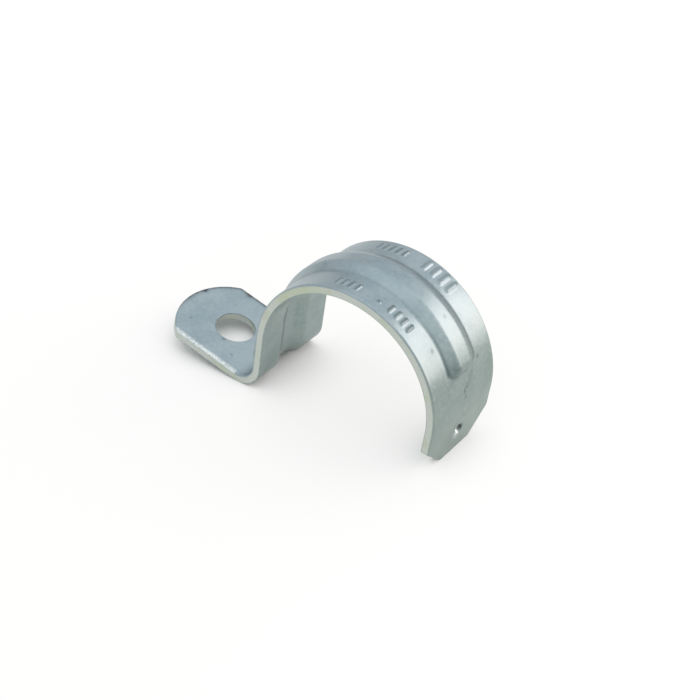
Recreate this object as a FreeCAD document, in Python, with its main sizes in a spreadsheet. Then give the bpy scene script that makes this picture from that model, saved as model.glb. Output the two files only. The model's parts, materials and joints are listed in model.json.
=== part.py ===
import FreeCAD, Part
import math
import os

import Sketcher

# One-hole conduit strap, stamped from one strip of zinc-plated steel.
#
# Frame: origin at the centre of the screw hole on the tab's underside, +X along the strap towards
# its free end, +Y across the strip, +Z away from the wall.  The strip runs from the tab through a
# fold into the riser, over the half-round saddle and down the free leg.  Both legs are parallel and
# lean by the same angle, so that tightening the screw draws the saddle down onto the conduit.

# name, value in millimetres or degrees, what it is
SIZES = (
    ("strap_width", 24.0, "width of the strip"),
    ("sheet_thickness", 2.0, "thickness of the strip"),
    ("saddle_radius", 22.1, "inside radius of the saddle: half of the conduit's 44.2 mm"),
    ("axis_offset", 36.8, "from the screw hole to the conduit's axis, along X"),
    ("axis_height", 19.25, "height of the conduit's axis over the tab's underside, strap relaxed"),
    ("lean_angle", 7.2, "angle between the legs and the tab's normal"),
    ("bend_radius", 4.4, "inside radius of the fold between tab and riser"),
    ("tab_end_radius", 14.5, "radius of the tab's round end, about the screw hole"),
    ("screw_hole_diameter", 9.7, "screw hole"),
    ("leg_length", 10.9, "from the end of the saddle's arc to the tip of the free leg"),
    ("tip_length", 5.5, "length of the tapered tip, along the leg"),
    ("tip_width", 11.2, "width of the tip's straight end"),
    ("dimple_diameter", 3.2, "mouth of the dimple punched into the free leg's outer face"),
    ("dimple_depth", 0.9, "depth of the dimple"),
    ("dimple_floor_diameter", 0.9, "bottom of the dimple"),
    ("nib_height", 0.3, "how far the dimple's back stands out of the leg's inner face"),
    ("dimple_drop", 5.2, "from the end of the saddle's arc to the dimple, along the leg"),
    ("rib_height", 1.5, "how far the pressed rib stands over the strip's outer face"),
    ("rib_foot_width", 10.4, "width of the rib where it leaves the outer face"),
    ("rib_crown_width", 4.4, "width of the rib's crown, between its sharp corners"),
    ("rib_corner_radius", 0.8, "inside radius between the rib's crown and its flanks"),
    ("rib_foot_radius", 2.5, "radius between the rib's flanks and the strip's outer face"),
    ("rib_nose_angle", 59.0, "from the saddle's crest to where the rib starts to run out"),
    ("rib_end_radius", 4.2, "radius of the crown line where the rib turns down at its two ends"),
    ("rib_end_angle", 44.0, "slope of the rib's two run-outs"),
    ("corner_rounding", 0.8, "rounding of the strip's corners, seen from above"),
    ("edge_rounding", 0.4, "rounding that the press leaves along the outer edges"),
)

ROOT_DEPTH = 0.7    # how far the rib's solid reaches into the strip under the outer face
MOUTH_DEPTH = 0.3   # how far the rib's hollow reaches out past the strip's inner face
END_BITE = 0.3      # how far a crown line dives under its face at the end of a run-out
TOLERANCE = 0.01     # how near a corner lies to a face that it belongs to

doc = FreeCAD.newDocument("conduit_strap")
table = doc.addObject("Spreadsheet::Sheet", "sizes")
for row, (alias, value, meaning) in enumerate(SIZES, start=1):
    table.set(f"A{row}", meaning)
    table.set(f"B{row}", str(value))
    table.setAlias(f"B{row}", alias)
doc.recompute()

ALIASES = [alias for alias, _, _ in SIZES]


def size(alias):
    return float(table.get(alias))


def formula(text):
    """Write a formula in the sizes' names as an expression on the spreadsheet."""
    for alias, _, _ in SIZES:
        text = text.replace(alias, "sizes." + alias)
    return text


def vector(x, y):
    return FreeCAD.Vector(x, y, 0)


def polar(centre, radius, degrees):
    angle = math.radians(degrees)
    return (centre[0] + radius * math.cos(angle), centre[1] + radius * math.sin(angle))


def along(point, distance, degrees):
    return polar(point, distance, degrees)


class Drawing:
    """A sketch whose geometry is held by constraints and sizes."""

    START, END, CENTRE = 1, 2, 3
    ORIGIN = (-1, 1)
    X_AXIS = -1
    Y_AXIS = -2

    def __init__(self, name, support):
        self.sketch = body.newObject("Sketcher::SketchObject", name)
        self.sketch.AttachmentSupport = [(support, "")]
        self.sketch.MapMode = "FlatFace"

    def line(self, start, end):
        return self.sketch.addGeometry(Part.LineSegment(vector(*start), vector(*end)), False)

    def arc(self, centre, radius, first, last):
        circle = Part.Circle(vector(*centre), FreeCAD.Vector(0, 0, 1), radius)
        return self.sketch.addGeometry(
            Part.ArcOfCircle(circle, math.radians(first), math.radians(last)), False)

    def circle(self, centre, radius):
        return self.sketch.addGeometry(
            Part.Circle(vector(*centre), FreeCAD.Vector(0, 0, 1), radius), False)

    def rule(self, kind, *items):
        return self.sketch.addConstraint(Sketcher.Constraint(kind, *items))

    def measure(self, name, text, kind, *items):
        """Add a dimension and bind it to a formula on the spreadsheet."""
        index = self.rule(kind, *items)
        self.sketch.renameConstraint(index, name)
        self.sketch.setExpression("Constraints." + name, formula(text))


body = doc.addObject("PartDesign::Body", "strap")
body.Label = "strap"
planes = {feature.Role: feature for feature in body.Origin.OriginFeatures}

width = size("strap_width")
thickness = size("sheet_thickness")
saddle = size("saddle_radius")
lean = size("lean_angle")
fold = size("bend_radius")
height = size("rib_height")
axis = (size("axis_offset"), size("axis_height"))
riser_top = polar(axis, saddle, 180 + lean)
# the fold's centre lies above the tab and outside the riser, as far from both as the fold's outside
fold_centre = (
    riser_top[0] - (fold + thickness) / math.cos(math.radians(lean))
    + (riser_top[1] - fold - thickness) * math.tan(math.radians(lean)),
    fold + thickness)


def side_profile():
    """The strip's outline seen from the side: tab, fold, riser, saddle and the leg above its tip."""
    leg = size("leg_length") - size("tip_length")
    half_chord = math.sqrt(size("tab_end_radius") ** 2 - (width / 2) ** 2)
    down = 270 + lean
    drawing = Drawing("side_profile", planes["XZ_Plane"])
    inner_leg_top = polar(axis, saddle, lean)
    outer_leg_top = polar(axis, saddle + thickness, lean)
    inner_leg_end = along(inner_leg_top, leg, down)
    outer_leg_end = along(outer_leg_top, leg, down)
    fold_under = polar(fold_centre, fold + thickness, lean)
    fold_over = polar(fold_centre, fold, lean)

    leg_in = drawing.line(inner_leg_end, inner_leg_top)
    saddle_in = drawing.arc(axis, saddle, lean, 180 + lean)
    riser_in = drawing.line(riser_top, fold_under)
    fold_out = drawing.arc(fold_centre, fold + thickness, -90, lean)
    tab_under = drawing.line((fold_centre[0], 0), (-half_chord, 0))
    tab_end = drawing.line((-half_chord, 0), (-half_chord, thickness))
    tab_top = drawing.line((-half_chord, thickness), (fold_centre[0], thickness))
    fold_in = drawing.arc(fold_centre, fold, -90, lean)
    riser_out = drawing.line(fold_over, polar(axis, saddle + thickness, 180 + lean))
    saddle_out = drawing.arc(axis, saddle + thickness, lean, 180 + lean)
    leg_out = drawing.line(outer_leg_top, outer_leg_end)
    leg_end = drawing.line(outer_leg_end, inner_leg_end)

    start, end, centre = Drawing.START, Drawing.END, Drawing.CENTRE
    drawing.rule("Tangent", leg_in, end, saddle_in, start)
    drawing.rule("Tangent", saddle_in, end, riser_in, start)
    drawing.rule("Tangent", riser_in, end, fold_out, end)
    drawing.rule("Tangent", fold_out, start, tab_under, start)
    drawing.rule("Coincident", tab_under, end, tab_end, start)
    drawing.rule("Coincident", tab_end, end, tab_top, start)
    drawing.rule("Tangent", tab_top, end, fold_in, start)
    drawing.rule("Tangent", fold_in, end, riser_out, start)
    drawing.rule("Tangent", riser_out, end, saddle_out, end)
    drawing.rule("Tangent", saddle_out, start, leg_out, start)
    drawing.rule("Coincident", leg_out, end, leg_end, start)
    drawing.rule("Coincident", leg_end, end, leg_in, start)
    drawing.rule("Coincident", saddle_in, centre, saddle_out, centre)
    drawing.rule("Coincident", fold_in, centre, fold_out, centre)
    drawing.rule("Horizontal", tab_top)
    drawing.rule("Horizontal", tab_under)
    drawing.rule("PointOnObject", tab_under, end, Drawing.X_AXIS)
    drawing.rule("Vertical", tab_end)
    drawing.rule("Parallel", leg_in, riser_in)
    drawing.rule("Parallel", leg_in, leg_out)
    drawing.rule("Perpendicular", leg_in, leg_end)
    drawing.measure("lean", "(90 + lean_angle) * 1 deg", "Angle", leg_in, math.radians(90 + lean))
    drawing.measure("leg", "leg_length - tip_length", "Distance", leg_in, leg)
    drawing.measure("axis_x", "axis_offset", "DistanceX", *Drawing.ORIGIN, saddle_in, centre, axis[0])
    drawing.measure("axis_z", "axis_height", "DistanceY", *Drawing.ORIGIN, saddle_in, centre, axis[1])
    drawing.measure("inside", "saddle_radius", "Radius", saddle_in, saddle)
    drawing.measure("outside", "saddle_radius + sheet_thickness", "Radius", saddle_out,
                    saddle + thickness)
    drawing.measure("fold_inside", "bend_radius", "Radius", fold_in, fold)
    drawing.measure("fold_outside", "bend_radius + sheet_thickness", "Radius", fold_out,
                    fold + thickness)
    drawing.measure("chord", "sqrt(tab_end_radius ^ 2 - (strap_width / 2) ^ 2)", "DistanceX",
                    tab_under, end, *Drawing.ORIGIN, half_chord)
    return drawing.sketch


def bound_pad(kind, name, sketch, text):
    """A pad or pocket whose length is a formula in the sizes."""
    feature = body.newObject(kind, name)
    feature.Profile = sketch
    feature.Refine = False
    feature.setExpression("Length", formula(text))
    return feature


def saddle_plane():
    """Datum plane through the conduit's axis, parallel to both legs; its X is the frame's Y."""
    plane = body.newObject("PartDesign::Plane", "saddle_plane")
    plane.AttachmentSupport = [(planes["YZ_Plane"], "")]
    plane.MapMode = "FlatFace"
    plane.AttachmentOffset = FreeCAD.Placement(
        FreeCAD.Vector(0, axis[1], axis[0]), FreeCAD.Rotation(FreeCAD.Vector(-1, 0, 0), lean))
    plane.setExpression(".AttachmentOffset.Base.y", formula("axis_height"))
    plane.setExpression(".AttachmentOffset.Base.z", formula("axis_offset"))
    plane.setExpression(".AttachmentOffset.Rotation.Angle", formula("lean_angle * 1 deg"))
    return plane


def tab_outline():
    """The cap beyond the tab's straight sides: an arc about the screw hole, closed by its chord."""
    radius = size("tab_end_radius")
    swing = math.degrees(math.asin(width / 2 / radius))
    upper = polar((0, 0), radius, 180 - swing)
    lower = polar((0, 0), radius, 180 + swing)
    drawing = Drawing("tab_outline", planes["XY_Plane"])
    rim = drawing.arc((0, 0), radius, 180 - swing, 180 + swing)
    chord = drawing.line(lower, upper)
    start, end, centre = Drawing.START, Drawing.END, Drawing.CENTRE
    drawing.rule("Coincident", rim, end, chord, start)
    drawing.rule("Coincident", rim, start, chord, end)
    drawing.rule("Coincident", rim, centre, *Drawing.ORIGIN)
    drawing.rule("Vertical", chord)
    drawing.measure("rim", "tab_end_radius", "Radius", rim, radius)
    drawing.measure("chord", "strap_width", "DistanceY", chord, start, chord, end, width)
    return drawing.sketch


def tip_outline():
    """The free leg's tapered tip, drawn on the leg's inner face."""
    leg, taper, blunt = size("leg_length"), size("tip_length"), size("tip_width")
    drawing = Drawing("tip_outline", datum)
    corners = ((-width / 2, taper - leg), (-blunt / 2, -leg), (blunt / 2, -leg), (width / 2, taper - leg))
    left = drawing.line(corners[0], corners[1])
    blunt_end = drawing.line(corners[1], corners[2])
    right = drawing.line(corners[2], corners[3])
    root = drawing.line(corners[3], corners[0])
    start, end = Drawing.START, Drawing.END
    for one, other in ((left, blunt_end), (blunt_end, right), (right, root), (root, left)):
        drawing.rule("Coincident", one, end, other, start)
    drawing.rule("Symmetric", left, start, right, end, Drawing.Y_AXIS)
    drawing.rule("Symmetric", left, end, right, start, Drawing.Y_AXIS)
    drawing.measure("blunt", "tip_width", "DistanceX", blunt_end, start, blunt_end, end, blunt)
    drawing.measure("root", "strap_width", "DistanceX", root, end, root, start, width)
    drawing.measure("taper", "tip_length", "DistanceY", left, end, left, start, taper)
    drawing.measure("leg", "leg_length", "DistanceY", blunt_end, start, *Drawing.ORIGIN, leg)
    drawing.sketch.setExpression(".AttachmentOffset.Base.z", formula("saddle_radius"))
    return drawing.sketch


def hole(name, diameter):
    """A round hole about the frame's origin."""
    drawing = Drawing(name, planes["XY_Plane"])
    radius = size(diameter) / 2
    ring = drawing.circle((0, 0), radius)
    drawing.measure("bore", diameter + " / 2", "Radius", ring, radius)
    drawing.rule("Coincident", ring, Drawing.CENTRE, *Drawing.ORIGIN)
    return drawing.sketch


def punched_cone(kind, name, bottom, height, narrow, wide):
    """A cone square to the free leg at the dimple, widening outwards from a level off the axis."""
    cone = body.newObject(kind, name)
    cone.AttachmentSupport = [(datum, "")]
    cone.MapMode = "FlatFace"
    cone.Refine = False
    cone.setExpression(".AttachmentOffset.Base.y", formula("-dimple_drop"))
    cone.setExpression(".AttachmentOffset.Base.z", formula(bottom))
    cone.setExpression("Height", formula(height))
    cone.setExpression("Radius1", formula(narrow))
    cone.setExpression("Radius2", formula(wide))
    return cone


def flank_slope():
    """Angle of the rib's flanks to the strip's face, in degrees."""
    return math.degrees(math.atan2(2 * height, size("rib_foot_width") - size("rib_crown_width")))


FLANK = "atan(2 * rib_height / (rib_foot_width - rib_crown_width))"


def rib_section(name, offset, reach):
    """Trapezoid across the rib with round crown corners, on the saddle plane over the crest.

    offset names the depth of the skin under the strip's outer face: 0 for the outer skin and the
    sheet's thickness for the inner one.  reach is how far the section goes on below that skin.
    """
    inset = size(offset) if offset in ALIASES else 0.0
    slope = math.radians(flank_slope())
    narrowing = 2 * inset * math.tan(slope / 2)
    radius = size("rib_corner_radius") + thickness - inset
    top = saddle + thickness + height - inset
    floor = top - height - reach
    foot = (size("rib_foot_width") - narrowing) / 2 + reach / math.tan(slope)
    shoulder = (size("rib_crown_width") - narrowing) / 2 - radius * math.tan(slope / 2)
    bottom = 90 - flank_slope()
    corner = (shoulder, top - radius)
    end_of_flank = polar(corner, radius, bottom)

    drawing = Drawing(name, datum)
    base = drawing.line((-foot, floor), (foot, floor))
    right = drawing.line((foot, floor), end_of_flank)
    right_corner = drawing.arc(corner, radius, bottom, 90)
    crown = drawing.line((shoulder, top), (-shoulder, top))
    left_corner = drawing.arc((-shoulder, top - radius), radius, 90, 180 - bottom)
    left = drawing.line((-end_of_flank[0], end_of_flank[1]), (-foot, floor))
    start, end = Drawing.START, Drawing.END
    drawing.rule("Coincident", base, end, right, start)
    drawing.rule("Coincident", base, start, left, end)
    drawing.rule("Tangent", right, end, right_corner, start)
    drawing.rule("Tangent", right_corner, end, crown, start)
    drawing.rule("Tangent", crown, end, left_corner, start)
    drawing.rule("Tangent", left_corner, end, left, start)
    drawing.rule("Symmetric", base, start, base, end, Drawing.Y_AXIS)
    drawing.rule("Symmetric", left, start, right, end, Drawing.Y_AXIS)
    drawing.rule("Equal", left_corner, right_corner)
    drawing.measure("corner", f"rib_corner_radius + sheet_thickness - {offset}", "Radius",
                    right_corner, radius)
    drawing.measure("top", f"saddle_radius + sheet_thickness + rib_height - {offset}", "DistanceY",
                    *Drawing.ORIGIN, crown, start, top)
    drawing.measure("floor", f"saddle_radius + sheet_thickness - {offset} - {reach}", "DistanceY",
                    *Drawing.ORIGIN, base, start, floor)
    drawing.measure("slope", f"180 deg - {FLANK}", "Angle", right, math.pi - slope)
    drawing.measure(
        "foot", f"rib_foot_width - 2 * {offset} * tan({FLANK} / 2) + 2 * {reach} / tan({FLANK})",
        "DistanceX", base, start, base, end, 2 * foot)
    return drawing.sketch


def hold_saddle_arc(drawing, arc, crest_end, offset, radius, crest):
    """Fix an arc of the crown's line about the conduit's axis, with one end at the crest."""
    centre = Drawing.CENTRE
    drawing.measure("axis_x", "axis_offset", "DistanceX", *Drawing.ORIGIN, arc, centre, axis[0])
    drawing.measure("axis_z", "axis_height", "DistanceY", *Drawing.ORIGIN, arc, centre, axis[1])
    drawing.measure("crown", f"saddle_radius + sheet_thickness + rib_height - {offset}", "Radius",
                    arc, radius)
    ray(drawing, "crest", arc, crest_end, polar(axis, radius, crest), "(90 + lean_angle) * 1 deg", crest)


def ray(drawing, name, arc, point, tip, text, degrees):
    """Turn one end of an arc to an angle about the arc's centre, by a construction line."""
    line = drawing.line(axis, tip)
    drawing.sketch.setConstruction(line, True)
    drawing.rule("Coincident", line, Drawing.START, arc, Drawing.CENTRE)
    drawing.rule("Coincident", line, Drawing.END, arc, point)
    drawing.measure(name, text, "Angle", line, math.radians(degrees))


def nose_path(name, offset):
    """Crown line from the crest towards the free leg, turned down into the saddle at the nose."""
    inset = size(offset) if offset in ALIASES else 0.0
    radius = saddle + thickness + height - inset
    turn = size("rib_end_radius") - inset
    slope = size("rib_end_angle")
    crest = 90 + lean
    nose = crest - size("rib_nose_angle")
    turn_centre = polar(axis, radius - turn, nose)
    ramp_top = polar(turn_centre, turn, nose - slope)
    heading = nose - slope - 90
    floor = radius - height - END_BITE
    # the ramp ends where its distance from the axis is that of the skin, less the bite
    step = math.radians(heading)
    across = ((ramp_top[0] - axis[0]) * math.cos(step) + (ramp_top[1] - axis[1]) * math.sin(step))
    reach = math.hypot(ramp_top[0] - axis[0], ramp_top[1] - axis[1])
    ramp_length = -across - math.sqrt(across ** 2 - reach ** 2 + floor ** 2)

    drawing = Drawing(name, planes["XZ_Plane"])
    over = drawing.arc(axis, radius, nose, crest)
    turning = drawing.arc(turn_centre, turn, nose - slope, nose)
    ramp = drawing.line(ramp_top, along(ramp_top, ramp_length, heading))
    start, end = Drawing.START, Drawing.END
    hold_saddle_arc(drawing, over, end, offset, radius, crest)
    ray(drawing, "nose", over, start, polar(axis, radius, nose),
        "(90 + lean_angle - rib_nose_angle) * 1 deg", nose)
    drawing.rule("Tangent", over, start, turning, end)
    drawing.rule("Tangent", turning, start, ramp, start)
    drawing.measure("turn", f"rib_end_radius - {offset}", "Radius", turning, turn)
    drawing.measure("heading", "(lean_angle - rib_nose_angle - rib_end_angle) * 1 deg", "Angle",
                    ramp, math.radians(heading))
    drawing.measure("end", f"saddle_radius + sheet_thickness - {offset} - {END_BITE}", "Distance",
                    ramp, end, over, Drawing.CENTRE, floor)
    return drawing.sketch


def tail_path(name, offset):
    """Crown line from the crest down the riser and through the fold, turned down into the tab."""
    inset = size(offset) if offset in ALIASES else 0.0
    radius = saddle + thickness + height - inset
    turn = size("rib_end_radius") - inset
    slope = size("rib_end_angle")
    crest = 90 + lean
    fold_line = fold - height + inset
    level = thickness + height - inset
    turn_centre = (fold_centre[0], level - turn)
    ramp_top = polar(turn_centre, turn, 90 + slope)
    floor = thickness - inset - END_BITE
    ramp_length = (ramp_top[1] - floor) / math.sin(math.radians(slope))

    drawing = Drawing(name, planes["XZ_Plane"])
    over = drawing.arc(axis, radius, crest, 180 + lean)
    riser = drawing.line(polar(axis, radius, 180 + lean), polar(fold_centre, fold_line, lean))
    folding = drawing.arc(fold_centre, fold_line, -90, lean)
    turning = drawing.arc(turn_centre, turn, 90, 90 + slope)
    ramp = drawing.line(ramp_top, along(ramp_top, ramp_length, 180 + slope))
    start, end, centre = Drawing.START, Drawing.END, Drawing.CENTRE
    hold_saddle_arc(drawing, over, start, offset, radius, crest)
    drawing.rule("Tangent", over, end, riser, start)
    drawing.rule("Tangent", riser, end, folding, end)
    drawing.rule("Tangent", folding, start, turning, start)
    drawing.rule("Tangent", turning, end, ramp, start)
    drawing.rule("Vertical", folding, centre, turning, centre)
    drawing.measure("lean", "(lean_angle - 90) * 1 deg", "Angle", riser, math.radians(lean - 90))
    drawing.measure("fold", f"bend_radius - rib_height + {offset}", "Radius", folding, fold_line)
    drawing.measure("fold_z", "bend_radius + sheet_thickness", "DistanceY", *Drawing.ORIGIN,
                    folding, centre, fold + thickness)
    drawing.measure("turn", f"rib_end_radius - {offset}", "Radius", turning, turn)
    drawing.measure("heading", "(180 + rib_end_angle) * 1 deg", "Angle", ramp,
                    math.radians(180 + slope))
    drawing.measure("end", f"sheet_thickness - {offset} - {END_BITE}", "DistanceY", *Drawing.ORIGIN,
                    ramp, end, floor)
    return drawing.sketch


def pipe(kind, name, section, spine):
    """A section swept along a spine, kept square to it."""
    feature = body.newObject(kind, name)
    feature.Profile = section
    feature.Spine = (spine, [])
    feature.Mode = "Standard"
    feature.Refine = False
    return feature


def height_over_inner_face(point):
    """How far a point of the strip lies over the strip's inner face: 0 on it, the thickness outside."""
    across = FreeCAD.Vector(math.cos(math.radians(lean)), 0, math.sin(math.radians(lean)))
    up = FreeCAD.Vector(-across.z, 0, across.x)
    from_axis = point - FreeCAD.Vector(axis[0], 0, axis[1])
    side, rise = from_axis.dot(across), from_axis.dot(up)
    if rise > 0:
        return math.hypot(side, rise) - saddle
    if side > 0:
        return side - saddle
    from_fold = point - FreeCAD.Vector(fold_centre[0], 0, fold_centre[1])
    if from_fold.dot(up) > 0:
        return -side - saddle
    if from_fold.x > 0:
        return fold + thickness - math.hypot(from_fold.x, from_fold.z)
    return point.z


def rib_foot_edges(shape):
    """Names of the edges along the rib's foot, where it rises from the strip's outer face."""
    names = []
    for number, edge in enumerate(shape.Edges, start=1):
        first, last = edge.ParameterRange
        points = [edge.valueAt(first + (last - first) * part) for part in (0.0, 0.5, 1.0)]
        heights = [height_over_inner_face(point) for point in points]
        inside = all(abs(point.y) < size("rib_foot_width") / 2 + TOLERANCE for point in points)
        seam = all(abs(point.y) < TOLERANCE for point in points)
        if inside and not seam and all(abs(height - thickness) < TOLERANCE for height in heights):
            names.append(f"Edge{number}")
    return names


def corner_edges(shape):
    """Names of the straight edges that run through the sheet at the outline's corners."""
    names = []
    for number, edge in enumerate(shape.Edges, start=1):
        heights = sorted(height_over_inner_face(vertex.Point) for vertex in edge.Vertexes)
        through = len(heights) == 2 and abs(heights[0]) < TOLERANCE
        if through and abs(heights[1] - thickness) < TOLERANCE:
            names.append(f"Edge{number}")
    return names


def outer_cut_edges(shape):
    """Names of the edges where the strip's cut faces meet its outer face."""
    cut_faces = []
    for face in shape.Faces:
        heights = [height_over_inner_face(vertex.Point) for vertex in face.Vertexes]
        if min(heights) < TOLERANCE and max(heights) > thickness - TOLERANCE:
            cut_faces.append(face)
    names = []
    for number, edge in enumerate(shape.Edges, start=1):
        heights = [height_over_inner_face(vertex.Point) for vertex in edge.Vertexes]
        outside = all(abs(height - thickness) < TOLERANCE for height in heights)
        if outside and any(edge.isSame(other) for face in cut_faces for other in face.Edges):
            names.append(f"Edge{number}")
    return names


def fillet(name, base, choose, radius):
    """Round the edges that choose finds on the base."""
    rounding = body.newObject("PartDesign::Fillet", name)
    rounding.Base = (base, choose(base.Shape))
    rounding.Refine = False
    rounding.setExpression("Radius", formula(radius))
    doc.recompute()


# the bent strip; its two halves stay separate faces inside the saddle, because the rib's hollow
# parts them
side = side_profile()
bound_pad("PartDesign::Pad", "strip_half", side, "strap_width / 2")
other_half = bound_pad("PartDesign::Pad", "strip_other_half", side, "strap_width / 2")
other_half.Reversed = True
datum = saddle_plane()
doc.recompute()

# the pressed rib: its outer skin is added and the hollow behind it taken away, both from the crest
outer_section = rib_section("rib_outside", "0", ROOT_DEPTH)
pipe("PartDesign::AdditivePipe", "rib_nose", outer_section, nose_path("rib_nose_line", "0"))
pipe("PartDesign::AdditivePipe", "rib_tail", outer_section, tail_path("rib_tail_line", "0"))
inner_section = rib_section("rib_inside", "sheet_thickness", MOUTH_DEPTH)
pipe("PartDesign::SubtractivePipe", "hollow_nose", inner_section,
     nose_path("hollow_nose_line", "sheet_thickness"))
pressed = pipe("PartDesign::SubtractivePipe", "hollow_tail", inner_section,
               tail_path("hollow_tail_line", "sheet_thickness"))
doc.recompute()

# the sheet is drawn into the rib over a soft shoulder
fillet("rib_foot", pressed, rib_foot_edges, "rib_foot_radius")

# the outline's two ends: the round tab and the tapered tip
bound_pad("PartDesign::Pad", "tab_cap", tab_outline(), "sheet_thickness")
bound_pad("PartDesign::Pad", "leg_tip", tip_outline(), "sheet_thickness")
doc.recompute()

# the outline's corners are eased, and its edges rounded on the side that the punch enters
fillet("corners", body.Tip, corner_edges, "corner_rounding")
fillet("pressed_edges", body.Tip, outer_cut_edges, "edge_rounding")

screw_hole = bound_pad("PartDesign::Pocket", "screw_hole",
                       hole("screw_ring", "screw_hole_diameter"), "sheet_thickness")
screw_hole.Reversed = True

# the dimple punched into the free leg raises a nib inside, which snaps over the conduit
punched_cone("PartDesign::AdditiveCone", "nib", "saddle_radius - nib_height", "nib_height",
             "dimple_diameter / 2 - nib_height", "dimple_diameter / 2")
doc.recompute()
dimple = punched_cone("PartDesign::SubtractiveCone", "dimple",
                      "saddle_radius + sheet_thickness - dimple_depth", "dimple_depth",
                      "dimple_floor_diameter / 2", "dimple_diameter / 2")
doc.recompute()

for item in doc.Objects:
    if "Invalid" in item.State or "Error" in item.State:
        raise RuntimeError(f"{item.Name} failed: {item.State}")
for cut in (screw_hole, dimple):
    if cut.BaseFeature.Shape.Volume - cut.Shape.Volume < 1:
        raise RuntimeError(f"{cut.Name} took nothing away")
if body.Shape.isNull() or not body.Shape.isValid() or len(body.Shape.Solids) != 1:
    raise RuntimeError("the strap is not one valid solid")

os.makedirs("parts", exist_ok=True)
body.Shape.exportStep(f"parts/{body.Label}.step")
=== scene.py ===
import json
import math

import bpy
import numpy as np
from mathutils import Matrix, Vector
from mathutils.geometry import delaunay_2d_cdt


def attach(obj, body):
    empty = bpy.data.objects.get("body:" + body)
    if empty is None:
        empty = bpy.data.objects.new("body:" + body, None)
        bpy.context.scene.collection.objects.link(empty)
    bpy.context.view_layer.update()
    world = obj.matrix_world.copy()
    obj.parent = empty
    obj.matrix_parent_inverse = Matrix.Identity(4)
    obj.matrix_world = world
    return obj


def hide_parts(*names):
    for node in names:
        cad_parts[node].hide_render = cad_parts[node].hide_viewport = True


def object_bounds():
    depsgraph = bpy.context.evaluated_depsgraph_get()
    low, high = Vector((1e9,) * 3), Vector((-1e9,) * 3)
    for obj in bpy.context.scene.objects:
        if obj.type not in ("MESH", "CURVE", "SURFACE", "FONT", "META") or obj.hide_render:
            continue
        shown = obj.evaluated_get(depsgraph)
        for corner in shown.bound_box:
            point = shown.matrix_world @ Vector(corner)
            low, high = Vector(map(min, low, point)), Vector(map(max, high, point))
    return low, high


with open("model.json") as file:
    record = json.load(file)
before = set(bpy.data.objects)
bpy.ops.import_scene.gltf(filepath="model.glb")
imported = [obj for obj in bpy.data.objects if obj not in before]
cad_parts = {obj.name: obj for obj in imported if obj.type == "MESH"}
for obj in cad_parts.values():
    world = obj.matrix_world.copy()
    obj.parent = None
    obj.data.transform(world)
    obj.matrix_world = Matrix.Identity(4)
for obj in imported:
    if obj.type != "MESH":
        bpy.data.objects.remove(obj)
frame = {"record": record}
CAD_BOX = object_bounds()

# ---------------------------------------------------------------- sizes, in millimetres and degrees

MM = 0.001
MOUNTS = {mount["name"]: mount for mount in frame["record"]["mounts"]}

WIDTH = 24.0
SHEET = 2.0
SADDLE = MOUNTS["conduit_saddle"]["dims"]["r_mm"]
AXIS = (MOUNTS["conduit_saddle"]["pos_m"][0] / MM, MOUNTS["conduit_saddle"]["pos_m"][2] / MM)
LEAN = 7.2
FOLD = 4.4
TAB_END = 14.5  # radius of the tab's round end
SCREW_HOLE = MOUNTS["screw_hole"]["dims"]["r_mm"]
LEG = 10.9
TAPER = 5.5
TIP = 11.2  # width of the blunt tip
DIMPLE_MOUTH = 1.6  # radius at the outer face
DIMPLE_FLOOR = 0.45  # radius at the bottom
DIMPLE_DEPTH = 0.9
DIMPLE_DROP = 5.2  # from the start of the leg
DIMPLE_BLEND = 0.16
NIB_HEIGHT = 0.3
CORNER = 0.8
EDGE_ROLL = 0.4
HOLE_ROLL = 0.15

# RIB_FOOT and RIB_CROWN are half widths; on the inner face both are less by RIB_NARROWING
RIB_HEIGHT = 1.5
RIB_FOOT = 5.2
RIB_CROWN = 2.2
RIB_NARROWING = 0.47
RIB_CROWN_BLEND = 0.28
RIB_FOOT_BLEND = 0.24
# the nose starts RIB_NOSE degrees past the crest, and the tail TAIL_SHIFT past the fold's start
RIB_NOSE = 60.8
NOSE_RADIUS, NOSE_SLOPE = 2.6, 52.0
TAIL_RADIUS, TAIL_SLOPE = 4.2, 44.0
TAIL_SHIFT = 1.4

# ---------------------------------------------------------------- the strip's path from the side

MIDDLE = SADDLE + SHEET / 2
OUTSIDE = SADDLE + SHEET
lean = math.radians(LEAN)
ACROSS = (math.cos(lean), math.sin(lean))
riser_top = (AXIS[0] - SADDLE * ACROSS[0], AXIS[1] - SADDLE * ACROSS[1])
fold_outside = FOLD + SHEET
FOLD_X = (riser_top[0] - fold_outside / math.cos(lean)
          + (riser_top[1] - fold_outside) * math.tan(lean))
riser_foot = (FOLD_X + fold_outside * ACROSS[0], fold_outside * (1 + ACROSS[1]))
FOLD_LENGTH = (FOLD + SHEET / 2) * (math.pi / 2 + lean)
RISER_LENGTH = math.dist(riser_top, riser_foot)

# distances along the sheet's middle from the screw hole, where each stretch of the strip starts
FOLD_START = FOLD_X
RISER_START = FOLD_START + FOLD_LENGTH
SADDLE_START = RISER_START + RISER_LENGTH
LEG_START = SADDLE_START + MIDDLE * math.pi
TIP_END = LEG_START + LEG
# and the places of the crest, the rib's nose and the dimple
CREST = SADDLE_START + MIDDLE * math.pi / 2
NOSE = CREST + math.radians(RIB_NOSE) * MIDDLE
DIMPLE = LEG_START + DIMPLE_DROP


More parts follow.
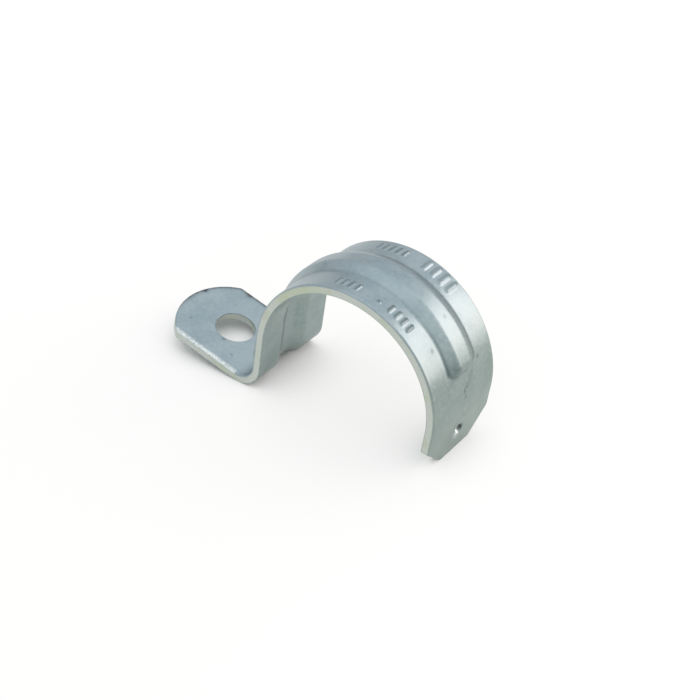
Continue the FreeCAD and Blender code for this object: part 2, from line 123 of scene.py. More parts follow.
def bent(along, across, level):
    """Carry points of the flat blank to the formed strip.

    along runs from the screw hole towards the free tip, across is the frame's Y, and level is the
    height over the sheet's inner face.
    """
    along, level = np.asarray(along, float), np.asarray(level, float)
    x, z = np.zeros_like(along), np.zeros_like(along)
    off = level - SHEET / 2

    tab = along < FOLD_START
    x[tab] = along[tab]
    z[tab] = level[tab]

    fold = (along >= FOLD_START) & (along < RISER_START)
    turn = (along[fold] - FOLD_START) / (FOLD + SHEET / 2) - math.pi / 2
    radius = FOLD + SHEET / 2 - off[fold]
    x[fold] = FOLD_X + radius * np.cos(turn)
    z[fold] = fold_outside + radius * np.sin(turn)

    riser = (along >= RISER_START) & (along < SADDLE_START)
    up = along[riser] - RISER_START
    x[riser] = riser_foot[0] - up * ACROSS[1] - level[riser] * ACROSS[0]
    z[riser] = riser_foot[1] + up * ACROSS[0] - level[riser] * ACROSS[1]

    saddle = (along >= SADDLE_START) & (along < LEG_START)
    turn = math.pi + lean - (along[saddle] - SADDLE_START) / MIDDLE
    x[saddle] = AXIS[0] + (SADDLE + level[saddle]) * np.cos(turn)
    z[saddle] = AXIS[1] + (SADDLE + level[saddle]) * np.sin(turn)

    leg = along >= LEG_START
    down = along[leg] - LEG_START
    x[leg] = AXIS[0] + (SADDLE + level[leg]) * ACROSS[0] + down * ACROSS[1]
    z[leg] = AXIS[1] + (SADDLE + level[leg]) * ACROSS[1] - down * ACROSS[0]
    return np.column_stack([x, across, z]) * MM


# ---------------------------------------------------------------- what is pressed into the sheet

# rows of plain raised bars: place of the first along the outer face from the crest, step to the
# next, how many, place across, and the half length and half width of each bar
MARK_ROWS = (
    (8.4, -1.7, 5, 8.9, 1.35, 0.36),
    (-4.0, -2.4, 4, 8.9, 2.0, 0.52),
    (6.8, -1.7, 4, -8.7, 1.2, 0.34),
    (-4.1, -1.0, 1, -9.2, 0.45, 0.40),
    (-7.0, -1.9, 4, -8.7, 1.3, 0.40),
)
MARK_HEIGHT = 0.30
# width of a bar's sloping side, as a share of the bar's half width
MARK_SHOULDER = 1.1

# shallow dents: place along the outer face from the crest, place across, radius and depth
DENTS = (
    (-29.5, 1.6, 0.8, 0.12),
    (-32.0, 0.4, 1.0, 0.14),
    (-38.5, 2.2, 1.0, 0.14),
    (-19.0, -7.2, 0.6, 0.05),
)


def soft_min(one, other, blend):
    """The lesser of two heights, with the corner where they cross rounded off."""
    overlap = np.clip(blend - np.abs(one - other), 0, None) / blend
    return np.minimum(one, other) - overlap**2 * blend / 4


def soft_max(one, other, blend):
    """The greater of two heights, with the corner where they cross rounded off."""
    return -soft_min(-one, -other, blend)


def smooth_step(value):
    """0 below 0 and 1 above 1, with an eased rise between them."""
    value = np.clip(value, 0, 1)
    return value * value * (3 - 2 * value)


def outer_place(from_crest):
    """Distance along the sheet's middle of a place measured along the outer face.

    from_crest is positive towards the tab and negative towards the free tip.
    """
    return CREST - from_crest * MIDDLE / OUTSIDE


def run_out(beyond, radius, degrees):
    """How far the rib's crown has sunk at a distance beyond the start of a run-out."""
    slope = math.radians(degrees)
    arc = radius * math.sin(slope)
    on_arc = np.clip(beyond, 0, arc)
    sunk = radius - np.sqrt(radius**2 - on_arc**2)
    return sunk + np.clip(beyond - arc, 0, None) * math.tan(slope)


def rib(along, across, narrowing=0.0):
    """Height of the pressed rib; the inner face is narrower, so that the sheet stays as thick."""
    flank = (RIB_FOOT - narrowing - np.abs(across)) / (RIB_FOOT - RIB_CROWN) * RIB_HEIGHT
    section = soft_min(flank, RIB_HEIGHT, RIB_CROWN_BLEND)
    crown = OUTSIDE + RIB_HEIGHT
    nose = (along - CREST) * crown / MIDDLE - math.radians(RIB_NOSE) * crown
    tail = FOLD_START + TAIL_SHIFT - along
    sunk = run_out(nose, NOSE_RADIUS, NOSE_SLOPE) + run_out(tail, TAIL_RADIUS, TAIL_SLOPE)
    return soft_max(section - sunk, 0 * section, RIB_FOOT_BLEND)


def marks(along, across):
    """Height of the raised bars."""
    height = np.zeros_like(along)
    for first, step, count, place, half_length, half_width in MARK_ROWS:
        past = np.clip(np.abs(across - place) - (half_length - half_width), 0, None)
        shoulder = MARK_SHOULDER * half_width
        for number in range(count):
            beside = along - outer_place(first + step * number)
            gap = half_width - np.hypot(beside, past)
            height = np.maximum(height, MARK_HEIGHT * smooth_step(gap / shoulder + 0.5))
    return height


def dimple(along, across):
    """Depth of the dimple in the free leg's outer face."""
    away = np.hypot(along - DIMPLE, across)
    wall = (DIMPLE_MOUTH - away) / (DIMPLE_MOUTH - DIMPLE_FLOOR) * DIMPLE_DEPTH
    return soft_max(soft_min(wall, DIMPLE_DEPTH, DIMPLE_BLEND), 0 * wall, DIMPLE_BLEND)


def nib(along, across):
    """Height of the nib that the dimple raises on the leg's inner face."""
    away = np.hypot(along - DIMPLE, across)
    return soft_max(soft_min(DIMPLE_MOUTH - away, NIB_HEIGHT, DIMPLE_BLEND), 0 * away, DIMPLE_BLEND)


def dents(along, across):
    """Depth of the shallow dents."""
    depth = np.zeros_like(along)
    for from_crest, place, radius, deep in DENTS:
        away = np.hypot(along - outer_place(from_crest), across - place) / radius
        depth += deep * np.exp(-2 * away**2)
    return depth


# ---------------------------------------------------------------- specks, painted shade and painted highlights

# specks and a scratch off the rib's nose: place along the sheet's middle from the screw hole,
# place across, radius and darkness
SPECKS = (
    (83.0, -6.8, 0.45, 0.5), (78.9, 0.4, 0.35, 0.5), (90.3, 6.2, 0.35, 0.5), (95.6, 0.1, 0.4, 0.7),
    (97.1, 0.4, 0.35, 0.6), (92.4, 3.3, 0.5, 0.25), (93.3, 2.5, 0.5, 0.25), (94.2, 1.7, 0.5, 0.3),
    (95.0, 0.9, 0.4, 0.4), (102.0, 0.7, 0.5, 0.35), (102.6, 1.6, 0.4, 0.25),
    (-5.2, 11.3, 0.8, 0.6), (-13.2, 4.0, 0.6, 0.6), (0.8, -5.3, 0.5, 0.6), (-9.0, -6.0, 0.3, 0.5),
    (5.5, -8.0, 0.3, 0.5),
)
# painted shade: a dark line along the tab's far rolled edge; it fades towards the fold and, round
# the tab's end, towards the near side
EDGE_LINE_WIDTH, EDGE_LINE_DARKNESS = 0.75, 0.9
EDGE_LINE_FADE = 2.0
EDGE_LINE_FROM, EDGE_LINE_FULL = -7.2, 0.8
# painted shade in the dimple's dark bottom, painted shade beside the rib's nose, and a painted
# highlight on the dimple's lower wall: place along, place across and radius
PIT_SHADE, PIT_SHADE_DARKNESS = (DIMPLE + 0.2, 0.75, 0.55), 3.0
# painted shade on the near side of the rib's nose
NOSE_SHADE, NOSE_SHADE_DARKNESS = (NOSE + 1.0, -3.2, 1.7), 0.7
# a painted highlight on the dimple's lower wall
DIMPLE_HIGHLIGHT = (DIMPLE + 0.8, -0.6, 1.1)
# painted shade in the crease along the rib's foot: it runs where the rib is FOOT_LINE high, and
# fades from the nose back to the crest; the flat sheet beyond the rib's foot is clear of it
FOOT_LINE, FOOT_LINE_SPREAD = 0.16, 0.17
FOOT_CLEAR, FOOT_SETS_IN = 0.6, 0.02
FOOT_FADE, FOOT_FADE_FROM, FOOT_FADE_LENGTH = 0.35, 13.0, 14.0
# painted shade darkens the bars' tops; the far row nearest the free tip is bolder and gets less
BOLD_MARKS_FROM = outer_place(-3.0)
BOLD_MARK_SHADE, FINE_MARK_SHADE = 0.35, 0.85
# a painted highlight lies on the tab's near edge from this far across, and only on the rolled edge
# and above
HIGHLIGHT_FROM, HIGHLIGHT_SETS_IN = 10.8, 0.5
ROLL_SETS_IN = 0.1


def near(along, across, place, beside, radius):
    """A soft spot: 1 at its middle, and falling off over its radius."""
    return np.exp(-((np.hypot(along - place, across - beside) / radius) ** 2))


def specks_and_shade(along, across, level):
    """Real specks, and painted shade in the dimple's pit and along the tab's far edge."""
    from_end = np.where(along < 0, TAB_END - np.hypot(along, across), WIDTH)
    inset = np.minimum(WIDTH / 2 - across, from_end)
    line = np.exp(-((inset / EDGE_LINE_WIDTH) ** 2))
    line *= smooth_step((FOLD_START - along) / EDGE_LINE_FADE)
    line *= smooth_step((across - EDGE_LINE_FROM) / (EDGE_LINE_FULL - EDGE_LINE_FROM))
    specks = sum(dark * near(along, across, *speck) for *speck, dark in SPECKS)
    # the edge line and the pit are painted shade, the specks real marks
    dark = EDGE_LINE_DARKNESS * line + specks + PIT_SHADE_DARKNESS * near(along, across, *PIT_SHADE)
    return np.clip(dark, 0, 1) * (level > SHEET - EDGE_ROLL)


def painted_shade(along, across, level):
    """How much painted shade lies in the crease along the rib's foot, beside its nose, and on the
    bars' tops.
    """
    height = rib(along, across)
    foot = np.exp(-(((height - FOOT_LINE) / FOOT_LINE_SPREAD) ** 2))
    foot *= (np.abs(across) < RIB_FOOT + FOOT_CLEAR) * smooth_step(height / FOOT_SETS_IN)
    back = smooth_step((along - NOSE + FOOT_FADE_FROM) / FOOT_FADE_LENGTH)
    fade = FOOT_FADE + (1 - FOOT_FADE) * back
    bold = (across > 0) & (along > BOLD_MARKS_FROM)
    # painted shade on the bars' tops, less on the bold row
    bar_shade = np.where(bold, BOLD_MARK_SHADE, FINE_MARK_SHADE)
    bar_shade *= marks(along, across) / MARK_HEIGHT
    shade = foot * fade + NOSE_SHADE_DARKNESS * near(along, across, *NOSE_SHADE) + bar_shade
    return np.clip(shade, 0, 1) * (level > SHEET - EDGE_ROLL)


def painted_highlight(along, across, level):
    """How much painted highlight lies on the tab's near edge and on the dimple's lower wall."""
    rolled = smooth_step((level - SHEET + EDGE_ROLL) / ROLL_SETS_IN)
    edge = smooth_step((-across - HIGHLIGHT_FROM) / HIGHLIGHT_SETS_IN)
    edge *= rolled * (along < FOLD_START)
    return np.clip(edge + rolled * near(along, across, *DIMPLE_HIGHLIGHT), 0, 1)


# ---------------------------------------------------------------- the flat blank

ROLL_STEPS = 5
WALL_STEPS = 4
OUTLINE_STEP = 0.4
CORNER_STEP = 0.15
HOLE_STEPS = 96
DIMPLE_RINGS, DIMPLE_SPOKES, DIMPLE_INNERMOST = 15, 40, 0.1
GRID_MARGIN = 0.18
GRID_ACROSS = 120
# the grid's stretches: start, end and step along the strip; the finest ones carry the bars and
# the rib's nose, and the dimple has rings of its own
GRID_STRETCHES = (
    (-TAB_END, FOLD_START - 4.0, 0.45),
    (FOLD_START - 4.0, RISER_START, 0.3),
    (RISER_START, outer_place(9.5), 0.45),
    (outer_place(9.5), outer_place(-14.0), 0.2),
    (outer_place(-14.0), outer_place(-24.0), 0.4),
    (outer_place(-24.0), outer_place(-30.0), 0.28),
    (outer_place(-30.0), TIP_END, 0.5),
)
OUTER_SPACING, INNER_SPACING = 1.0, 1.8
MERGE_DISTANCE = 1e-6


def arc_points(centre, radius, first, last, step=OUTLINE_STEP):
    """Points of an arc with their outward normals."""
    count = max(3, math.ceil(abs(math.radians(last - first)) * radius / step))
    turns = np.radians(np.linspace(first, last, count + 1))
    normals = np.column_stack([np.cos(turns), np.sin(turns)])
    return np.hstack([np.array(centre) + radius * normals, normals])


def half_outline():
    """One half of the blank's edge, from the middle of the tab's end to the middle of the tip."""
    half = WIDTH / 2
    # the corner arcs' centres lie one corner radius inside both of their edges
    tab_corner = (-math.sqrt((TAB_END - CORNER) ** 2 - (half - CORNER) ** 2), half - CORNER)
    tab_turn = math.degrees(math.atan2(tab_corner[1], tab_corner[0]))
    tilt = math.atan2(TAPER, half - TIP / 2)
    taper_turn = math.degrees(tilt)
    root = (TIP_END - TAPER - CORNER * math.tan((math.pi / 2 - tilt) / 2), half - CORNER)
    blunt = (TIP_END - CORNER, TIP / 2 - CORNER * math.tan(tilt / 2))
    pieces = [
        arc_points((0, 0), TAB_END, 180, tab_turn),
        arc_points(tab_corner, CORNER, tab_turn, 90, CORNER_STEP),
        arc_points(root, CORNER, 90, taper_turn, CORNER_STEP),
        arc_points(blunt, CORNER, taper_turn, 0, CORNER_STEP),
        np.array([[TIP_END, 0, 1, 0]], float),
    ]
    outline = [pieces[0]]
    for piece in pieces[1:]:
        start, end = outline[-1][-1], piece[0]
        length = math.dist(start[:2], end[:2])
        if length > OUTLINE_STEP / 10:
            steps = np.linspace(0, 1, math.ceil(length / OUTLINE_STEP) + 1)[1:-1, None]
            outline += [start + (end - start) * steps, piece]
        else:
            outline.append(piece[1:])
    return np.vstack(outline)


def blank_outline():
    """The blank's edge all round, with outward normals."""
    half = half_outline()
    other = half[-2:0:-1] * [1, -1, 1, -1]
    return np.vstack([half, other])


def hole_outline():
    """The screw hole's edge, running the other way round, with normals that point into the hole."""
    turns = np.radians(np.linspace(0, -360, HOLE_STEPS + 1)[:-1])
    normals = np.column_stack([np.cos(turns), np.sin(turns)])
    return np.hstack([SCREW_HOLE * normals, -normals])


def ring(outline, inward):
    """The outline's points, moved inward along their normals."""
    return outline[:, :2] - outline[:, 2:] * inward


def lines_between(low, high, step):
    """Evenly spaced places from low up to, but not at, high."""
    return np.linspace(low, high, max(2, math.ceil((high - low) / step) + 1))[:-1]


def blank_grid(spacing):
    """Points inside the blank, close together where the sheet is shaped and wider elsewhere."""
    lines = np.concatenate([lines_between(low, high, step * spacing)
                            for low, high, step in GRID_STRETCHES])
    half = WIDTH / 2
    columns = np.linspace(-half, half, round(GRID_ACROSS / spacing) + 1)
    grid = np.array(np.meshgrid(lines, columns, indexing="ij")).reshape(2, -1).T
    along, beside, out = grid[:, 0], np.abs(grid[:, 1]), np.hypot(grid[:, 0], grid[:, 1])
    margin = EDGE_ROLL + GRID_MARGIN
    narrowing = (half - TIP / 2) / TAPER
    side = half - np.clip(along - (TIP_END - TAPER), 0, None) * narrowing
    keep = (beside < half - margin) & (along < TIP_END - margin)
    keep &= (along > 0) | (out < TAB_END - margin)
    keep &= beside < side - margin * math.hypot(1, narrowing)
    keep &= out > SCREW_HOLE + HOLE_ROLL + GRID_MARGIN
    keep &= np.hypot(along - DIMPLE, beside) > DIMPLE_MOUTH + 2 * GRID_MARGIN

    turns = np.radians(np.linspace(0, 360, DIMPLE_SPOKES + 1)[:-1])
    rings = [np.column_stack([DIMPLE + radius * np.cos(turns), radius * np.sin(turns)])
             for radius in np.linspace(DIMPLE_INNERMOST, DIMPLE_MOUTH + GRID_MARGIN, DIMPLE_RINGS)]
    return np.vstack([grid[keep], [(DIMPLE, 0)]] + rings)


class Shell:
    """Vertices and faces of the strip, with each vertex's place on the blank."""

    def __init__(self):
        self.places = []
        self.faces = []
        self.count = 0

    def add(self, points, level):
        """Add points of the blank at a level over the inner face, and return their numbers."""
        self.places.append(np.column_stack([points, np.full(len(points), level, float)]))
        first = self.count
        self.count += len(points)
        return np.arange(first, self.count)

    def band(self, one, other):
        """Join two closed rings of as many points with quads."""
        following = np.roll(np.arange(len(one)), -1)
        self.faces += np.column_stack([one, one[following], other[following], other]).tolist()


def rim(shell, outline, roll):
    """The cut edge and the rolled edge round one outline; returns the rings the faces meet."""
    wall = SHEET - roll
    rings = [(0, wall * step / WALL_STEPS) for step in range(WALL_STEPS + 1)]
    for step in range(1, ROLL_STEPS + 1):
        turn = math.pi / 2 * step / ROLL_STEPS
        rings.append((roll * (1 - math.cos(turn)), wall + roll * math.sin(turn)))
    numbers = [shell.add(ring(outline, inward), level) for inward, level in rings]
    for one, other in zip(numbers, numbers[1:]):
        shell.band(one, other)
    return numbers[0], numbers[-1]


def cover(shell, rims, rolls, level, spacing, upward):
    """Triangles over the blank between its rims, at one level."""
    points = [ring(outline, roll) for (outline, _), roll in zip(rims, rolls)]
    edges, first = [], 0
    for loop in points:
        numbers = np.arange(first, first + len(loop))
        edges += np.column_stack([numbers, np.roll(numbers, -1)]).tolist()
        first += len(loop)
    grid = blank_grid(spacing)
    flat = np.vstack(points + [grid])
    corners, _, triangles, sources, *_ = delaunay_2d_cdt(
        [Vector(point) for point in flat.tolist()], edges, [], 0, MERGE_DISTANCE)
    triangles = np.array(triangles)
    middle = np.array(corners)[triangles].mean(axis=1)
    in_hole = (SCREW_HOLE + rolls[1]) * math.cos(math.pi / HOLE_STEPS)
    keep = np.hypot(middle[:, 0], middle[:, 1]) > in_hole
    numbers = np.concatenate([rim_numbers for _, rim_numbers in rims] + [shell.add(grid, level)])
    numbers = numbers[[origin[0] for origin in sources]][triangles[keep]]
    shell.faces += (numbers if upward else numbers[:, ::-1]).tolist()


# ---------------------------------------------------------------- the strap

SHARP_ANGLE = 40.0


def strip_mesh():
    """The strap's mesh, with each vertex's place on the blank and the plating's marks."""
    shell = Shell()
    outlines = [blank_outline(), hole_outline()]
    rolls = [EDGE_ROLL, HOLE_ROLL]
    rings = [rim(shell, outline, roll) for outline, roll in zip(outlines, rolls)]
    below = [(outline, low) for outline, (low, _) in zip(outlines, rings)]
    above = [(outline, high) for outline, (_, high) in zip(outlines, rings)]
    cover(shell, below, [0, 0], 0, INNER_SPACING, False)
    cover(shell, above, rolls, SHEET, OUTER_SPACING, True)

    places = np.vstack(shell.places)
    along, across, level = places.T
    inner = rib(along, across, RIB_NARROWING) - nib(along, across)
    outer = rib(along, across) + marks(along, across) - dents(along, across) - dimple(along, across)
    share = level / SHEET
    corners = bent(along, across, level + inner * (1 - share) + outer * share)

    mesh = bpy.data.meshes.new("strap_sheet")
    mesh.from_pydata(corners.tolist(), [], shell.faces)
    mesh.validate()
    strip = mesh.attributes.new("strip", "FLOAT_VECTOR", "POINT")
    strip.data.foreach_set("vector", places.astype(np.float32).ravel())
    for name, amount in (("specks_and_shade", specks_and_shade), ("painted_shade", painted_shade), ("painted_highlight", painted_highlight)):
        values = amount(*places.T).astype(np.float32)
        mesh.attributes.new(name, "FLOAT", "POINT").data.foreach_set("value", values)
    mesh.polygons.foreach_set("use_smooth", [True] * len(mesh.polygons))
    mesh.set_sharp_from_angle(angle=math.radians(SHARP_ANGLE))
    mesh.update()
    return mesh


strap = bpy.data.objects.new("strap_sheet", strip_mesh())
bpy.context.scene.collection.objects.link(strap)
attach(strap, "root")
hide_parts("strap")

# ---------------------------------------------------------------- materials

# each pair is mixed in soft patches
TAB_ZINC = ((0.275, 0.345, 0.378, 1), (0.335, 0.405, 0.430, 1))
LEG_ZINC = ((0.245, 0.310, 0.288, 1), (0.295, 0.360, 0.334, 1))
CUT_ZINC = ((0.54, 0.58, 0.54, 1), (0.49, 0.54, 0.42, 1))
PALE_MOTTLE = (0.42, 0.48, 0.48, 1)
DARK_MOTTLE = (0.20, 0.25, 0.26, 1)
# the colour of the painted shade in the creases, beside the rib's nose and on the bars' tops
PAINTED_SHADE_COLOUR = (0.11, 0.15, 0.15, 1)
# near black, for real specks and for the painted shade in the dimple's pit and along the tab's far
# edge
DIRT_AND_SHADE = (0.020, 0.020, 0.024, 1)
# the colour of the painted highlight on the tab's near edge and the dimple's lower wall
HIGHLIGHT_COLOUR = (0.72, 0.76, 0.74, 1)

# noise over the blank: scale per millimetre, detail and roughness; then the range over which it
# sets in, and the most that it mixes in
CLOUD, CLOUD_RANGE = (0.16, 4.0, 0.55), (0.3, 0.7)
MOTTLE = (1.1, 4.0, 0.6)
PALE_RANGE, PALE_SHARE = (0.48, 0.72), 0.4
DARK_RANGE, DARK_SHARE = (0.28, 0.45), 0.3
OLIVE, OLIVE_RANGE, OLIVE_SHARE = (0.22, 2.0, 0.5), (0.50, 0.66), 0.6
BREAKS, BREAKS_RANGE = (1.6, 3.0, 0.6), (0.40, 0.55)
GRAIN, GRAIN_SHARE = (6.0, 5.0, 0.65), 0.6
ROLLING, ROLLING_STRETCH, ROLLING_SHARE = (3.0, 3.0, 0.6), (0.12, 3.0, 1.0), 0.4

# where the tab's zinc turns into the leg's, along the strip; the inner face has mostly the leg's
LEG_ZINC_FROM, LEG_ZINC_TO = 64.0, 96.0
INNER_FACE_TOP, INNER_FACE_SHARE = 0.05, 0.8
# the cut faces are olive between these two stretches, over which it sets in and fades
OLIVE_SETS_IN, OLIVE_FADES, OLIVE_STRETCH_SHARE = (39.0, 46.0), (52.0, 60.0), 0.8
# the cut faces set in and end over these levels
CUT_LOW, CUT_HIGH = (0.02, 0.2), (1.45, 1.8)
# how much of the painted shade shows, and of the specks with painted shade and of the painted
# highlight where the noise breaks them up
PAINTED_SHADE_SHARE, DIRT_AND_SHADE_LEAST, HIGHLIGHT_LEAST = 0.8, 0.7, 0.4
BUMP_STRENGTH, BUMP_DEPTH = 0.16, 0.06 * MM
# the zinc's roughness over the mottle's range, and what rolling and cutting add to it
ROUGH_RANGE, ROUGH = (0.3, 0.8), (0.27, 0.38)
ROLLING_ROUGH, CUT_ROUGH = 0.06, 0.14


class Nodes:
    """Short calls for building a node tree."""

    def __init__(self, tree):
        self.tree = tree
        tree.nodes.clear()

    def set(self, node, inputs):
        for name, value in inputs.items():
            if isinstance(value, bpy.types.NodeSocket):
                self.tree.links.new(value, node.inputs[name])
            else:
                node.inputs[name].default_value = value
        return node

    def add(self, kind, inputs=None, **settings):
        node = self.tree.nodes.new(kind)
        for name, value in settings.items():
            setattr(node, name, value)
        return self.set(node, inputs or {})

    def attribute(self, name, output="Fac"):
        return self.add("ShaderNodeAttribute", attribute_name=name).outputs[output]

    def math(self, operation, one, other, clamp=False):
        node = self.add("ShaderNodeMath", {0: one, 1: other}, operation=operation, use_clamp=clamp)
        return node.outputs[0]

    def noise(self, place, scale, detail, rough):
        node = self.add("ShaderNodeTexNoise",
                        {"Vector": place, "Scale": scale, "Detail": detail, "Roughness": rough})
        return node.outputs["Fac"]

    def ramp(self, value, low, high, to_low=0.0, to_high=1.0):
        node = self.add("ShaderNodeMapRange", {"Value": value, "From Min": low, "From Max": high,
                                               "To Min": to_low, "To Max": to_high},
                        interpolation_type="SMOOTHSTEP")
        return node.outputs[0]

    def blend(self, amount, one, other):
        # inputs 0, 6 and 7 of a colour mix are the factor, A and B
        node = self.add("ShaderNodeMix", data_type="RGBA")
        return self.set(node, {0: amount, 6: one, 7: other}).outputs[2]


def zinc_plate():
    """Bright zinc over rolled steel: bluish on the tab, greener on the leg, pale on cut faces."""
    material = bpy.data.materials.new("zinc_plate")
    material.use_nodes = True
    nodes = Nodes(material.node_tree)
    place = nodes.attribute("strip", "Vector")
    split = nodes.add("ShaderNodeSeparateXYZ", {0: place})
    along, level = split.outputs[0], split.outputs[2]

    cloud = nodes.ramp(nodes.noise(place, *CLOUD), *CLOUD_RANGE)
    mottle = nodes.noise(place, *MOTTLE)
    bluish = nodes.blend(cloud, *TAB_ZINC)
    greenish = nodes.blend(cloud, *LEG_ZINC)
    on_leg = nodes.ramp(along, LEG_ZINC_FROM, LEG_ZINC_TO)
    inside = nodes.ramp(level, 0.0, INNER_FACE_TOP, INNER_FACE_SHARE, 0.0)
    colour = nodes.blend(nodes.math("MAXIMUM", on_leg, inside), bluish, greenish)
    pale = nodes.math("MULTIPLY", nodes.ramp(mottle, *PALE_RANGE), PALE_SHARE)
    colour = nodes.blend(pale, colour, PALE_MOTTLE)
    shaded = nodes.math("MULTIPLY", nodes.ramp(mottle, *DARK_RANGE, 1.0, 0.0), DARK_SHARE)
    colour = nodes.blend(shaded, colour, DARK_MOTTLE)

    # the cut faces are paler than the rolled ones, and olive where the passivation is thick
    patches = nodes.ramp(nodes.noise(place, *OLIVE), *OLIVE_RANGE, 0.0, OLIVE_SHARE)
    stretch = nodes.math("MULTIPLY", nodes.ramp(along, *OLIVE_SETS_IN, 0.0, OLIVE_STRETCH_SHARE),
                         nodes.ramp(along, *OLIVE_FADES, 1.0, 0.0))
    olive = nodes.math("ADD", patches, stretch, clamp=True)
    cut = nodes.blend(olive, *CUT_ZINC)
    on_cut = nodes.math("MULTIPLY", nodes.ramp(level, *CUT_LOW),
                        nodes.ramp(level, *CUT_HIGH, 1.0, 0.0))
    colour = nodes.blend(on_cut, colour, cut)

    # painted shade, specks with painted shade, and painted highlights come from the mesh, and the
    # last two are broken up
    breaks = nodes.ramp(nodes.noise(place, *BREAKS), *BREAKS_RANGE)
    shade = nodes.math("MULTIPLY", nodes.attribute("painted_shade"), PAINTED_SHADE_SHARE)
    colour = nodes.blend(shade, colour, PAINTED_SHADE_COLOUR)
    # real specks, and painted shade in the dimple's pit and along the tab's far edge
    dark = nodes.math("MULTIPLY", nodes.attribute("specks_and_shade"),
                      nodes.ramp(breaks, 0.0, 1.0, DIRT_AND_SHADE_LEAST, 1.0))
    colour = nodes.blend(dark, colour, DIRT_AND_SHADE)
    # painted highlight on the tab's near edge and the dimple's lower wall
    highlit = nodes.math("MULTIPLY", nodes.attribute("painted_highlight"),
                        nodes.ramp(breaks, 0.0, 1.0, HIGHLIGHT_LEAST, 1.0))
    colour = nodes.blend(highlit, colour, HIGHLIGHT_COLOUR)

    # fine grain, and faint lines along the strip from rolling
    grain = nodes.noise(place, *GRAIN)
    drawn = nodes.add("ShaderNodeVectorMath", {0: place, 1: ROLLING_STRETCH}, operation="MULTIPLY")
    rolled = nodes.noise(drawn.outputs[0], *ROLLING)
    bump = nodes.math("ADD", nodes.math("MULTIPLY", grain, GRAIN_SHARE),
                      nodes.math("MULTIPLY", rolled, ROLLING_SHARE))
    relief = nodes.add("ShaderNodeBump", {"Strength": BUMP_STRENGTH, "Distance": BUMP_DEPTH,
                                          "Height": bump})

    rough = nodes.math("ADD", nodes.ramp(mottle, *ROUGH_RANGE, *ROUGH),
                       nodes.math("MULTIPLY", rolled, ROLLING_ROUGH))
    rough = nodes.math("ADD", rough, nodes.math("MULTIPLY", on_cut, CUT_ROUGH))
    surface = nodes.add("ShaderNodeBsdfPrincipled",
                        {"Base Color": colour, "Metallic": 1.0, "Roughness": rough,
                         "Normal": relief.outputs[0]})
    nodes.add("ShaderNodeOutputMaterial", {"Surface": surface.outputs[0]})
    return material


strap.data.materials.append(zinc_plate())

# ---------------------------------------------------------------- floor

# the strap lies on the outside of its fold and on its free tip, so the floor climbs under it
tip = bent([TIP_END], [0], [0])[0] / MM
reach = math.dist((tip[0], tip[2]), (FOLD_X, fold_outside))
FLOOR_TILT = math.atan2(tip[2] - fold_outside, tip[0] - FOLD_X) + math.asin(fold_outside / reach)
FLOOR_GAP = 0.02
FLOOR_HALF = 3.0
FLOOR_BENDS = np.linspace(-80, 120, 101)
CLIMB_FROM, CLIMB_TO, CLIMB_EASE = -30.0, 68.0, 3.5

PAPER = (0.88, 0.88, 0.86, 1)
WHITE = (1.0, 1.0, 0.985, 1)
# the white's share of the open floor; it is less within CONTACT metres of the strap
WHITE_SHARE = 0.68
CONTACT, CONTACT_RANGE = 0.016, (0.25, 1.0)


def climbed(x):
    """How far the floor has climbed at x, before its tilt; it eases in and out of the climb."""
    from_start, from_end = (x - CLIMB_FROM) / CLIMB_EASE, (x - CLIMB_TO) / CLIMB_EASE
    return CLIMB_EASE * (np.logaddexp(0, from_start) - np.logaddexp(0, from_end))


def floor_level(x):
    """The floor's height at x, in millimetres: flat, climbing under the strap, and flat again."""
    return tip[2] + (climbed(x) - climbed(tip[0])) * math.tan(FLOOR_TILT) - FLOOR_GAP


def pale_floor():
    """A white floor to the eye and in the metal, on which the object's shadow stays faint."""
    material = bpy.data.materials.new("pale_floor")
    material.use_nodes = True
    nodes = Nodes(material.node_tree)
    path = nodes.add("ShaderNodeLightPath").outputs
    seen = nodes.math("MAXIMUM", path["Is Camera Ray"], path["Is Glossy Ray"])
    seen = nodes.math("MAXIMUM", seen, path["Is Transmission Ray"])
    paper = nodes.add("ShaderNodeBsdfDiffuse", {"Color": PAPER})
    white = nodes.add("ShaderNodeEmission", {"Color": WHITE, "Strength": 1.0})
    open_sky = nodes.add("ShaderNodeAmbientOcclusion", {"Distance": CONTACT}, samples=8)
    share = nodes.math("MULTIPLY", seen,
                       nodes.ramp(open_sky.outputs["AO"], *CONTACT_RANGE, 0.0, WHITE_SHARE))
    mixed = nodes.add("ShaderNodeMixShader", {0: share, 1: paper.outputs[0], 2: white.outputs[0]})
    nodes.add("ShaderNodeOutputMaterial", {"Surface": mixed.outputs[0]})
    return material


def make_floor():
    x = np.concatenate([[-FLOOR_HALF / MM], FLOOR_BENDS, [FLOOR_HALF / MM]])
    rows = np.column_stack([x, floor_level(x)]) * MM
    corners = [(px, side, pz) for px, pz in rows for side in (-FLOOR_HALF, FLOOR_HALF)]
    faces = [(2 * i, 2 * i + 2, 2 * i + 3, 2 * i + 1) for i in range(len(rows) - 1)]
    mesh = bpy.data.meshes.new("floor")
    mesh.from_pydata(corners, [], faces)
    mesh.polygons.foreach_set("use_smooth", [True] * len(faces))
    mesh.materials.append(pale_floor())
    floor = bpy.data.objects.new("floor", mesh)
    bpy.context.scene.collection.objects.link(floor)


make_floor()

# ---------------------------------------------------------------- light and camera

# one large square lamp, in metres and watts, over an even sky that is brighter overhead
KEY_DIRECTION = (0.573, 0.664, 0.480)
KEY_DISTANCE, KEY_SIZE, KEY_POWER = 0.7, 0.55, 1.95
KEY_COLOUR = (1.0, 0.82, 0.80)
SKY_COLOUR = (0.98, 1.0, 1.03, 1)
SKY_RANGE, SKY_STRENGTH = (-0.1, 1.0), (0.68, 1.22)

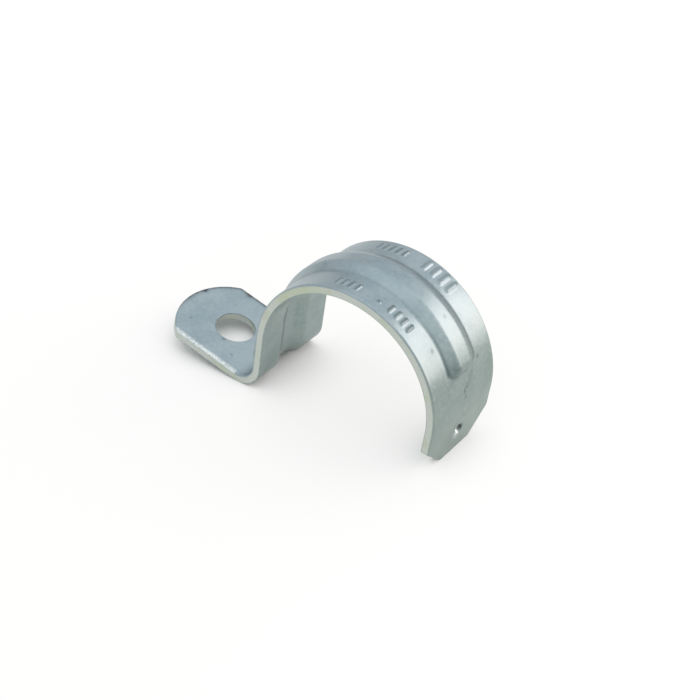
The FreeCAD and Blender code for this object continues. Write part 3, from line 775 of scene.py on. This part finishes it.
CAMERA_PLACE = Vector((133.16, -219.89, 236.28)) * MM
CAMERA_AZIMUTH, CAMERA_ELEVATION, CAMERA_ROLL = 25.006, 42.003, 17.69
CAMERA_LENS, CAMERA_SENSOR = 74.53, 36.0
CAMERA_CLIP = 0.01


def make_key():
    light = bpy.data.lights.new("key", "AREA")
    light.shape = "SQUARE"
    light.size = KEY_SIZE
    light.energy = KEY_POWER
    light.color = KEY_COLOUR
    lamp = bpy.data.objects.new("key", light)
    away = Vector(KEY_DIRECTION).normalized()
    lamp.location = (CAD_BOX[0] + CAD_BOX[1]) / 2 + away * KEY_DISTANCE
    lamp.rotation_mode = "QUATERNION"
    lamp.rotation_quaternion = away.to_track_quat("Z", "Y")
    bpy.context.scene.collection.objects.link(lamp)


def make_world():
    world = bpy.data.worlds.new("studio")
    bpy.context.scene.world = world
    world.use_nodes = True
    nodes = Nodes(world.node_tree)
    direction = nodes.add("ShaderNodeTexCoord").outputs["Generated"]
    height = nodes.add("ShaderNodeSeparateXYZ", {0: direction}).outputs[2]
    level = nodes.ramp(height, *SKY_RANGE, *SKY_STRENGTH)
    room = nodes.add("ShaderNodeBackground", {"Color": SKY_COLOUR, "Strength": level})
    nodes.add("ShaderNodeOutputWorld", {"Surface": room.outputs[0]})


def make_camera():
    camera = bpy.data.cameras.new("camera")
    camera.lens = CAMERA_LENS
    camera.sensor_width = CAMERA_SENSOR
    camera.clip_start = CAMERA_CLIP
    seen_from = bpy.data.objects.new("camera", camera)
    azimuth, elevation = math.radians(CAMERA_AZIMUTH), math.radians(CAMERA_ELEVATION)
    turned = (Matrix.Rotation(azimuth, 4, "Z") @ Matrix.Rotation(math.pi / 2 - elevation, 4, "X")
              @ Matrix.Rotation(math.radians(CAMERA_ROLL), 4, "Z"))
    seen_from.matrix_world = Matrix.Translation(CAMERA_PLACE) @ turned
    bpy.context.scene.collection.objects.link(seen_from)
    bpy.context.scene.camera = seen_from


make_key()
make_world()
make_camera()

bpy.context.scene.view_settings.view_transform = "Standard"
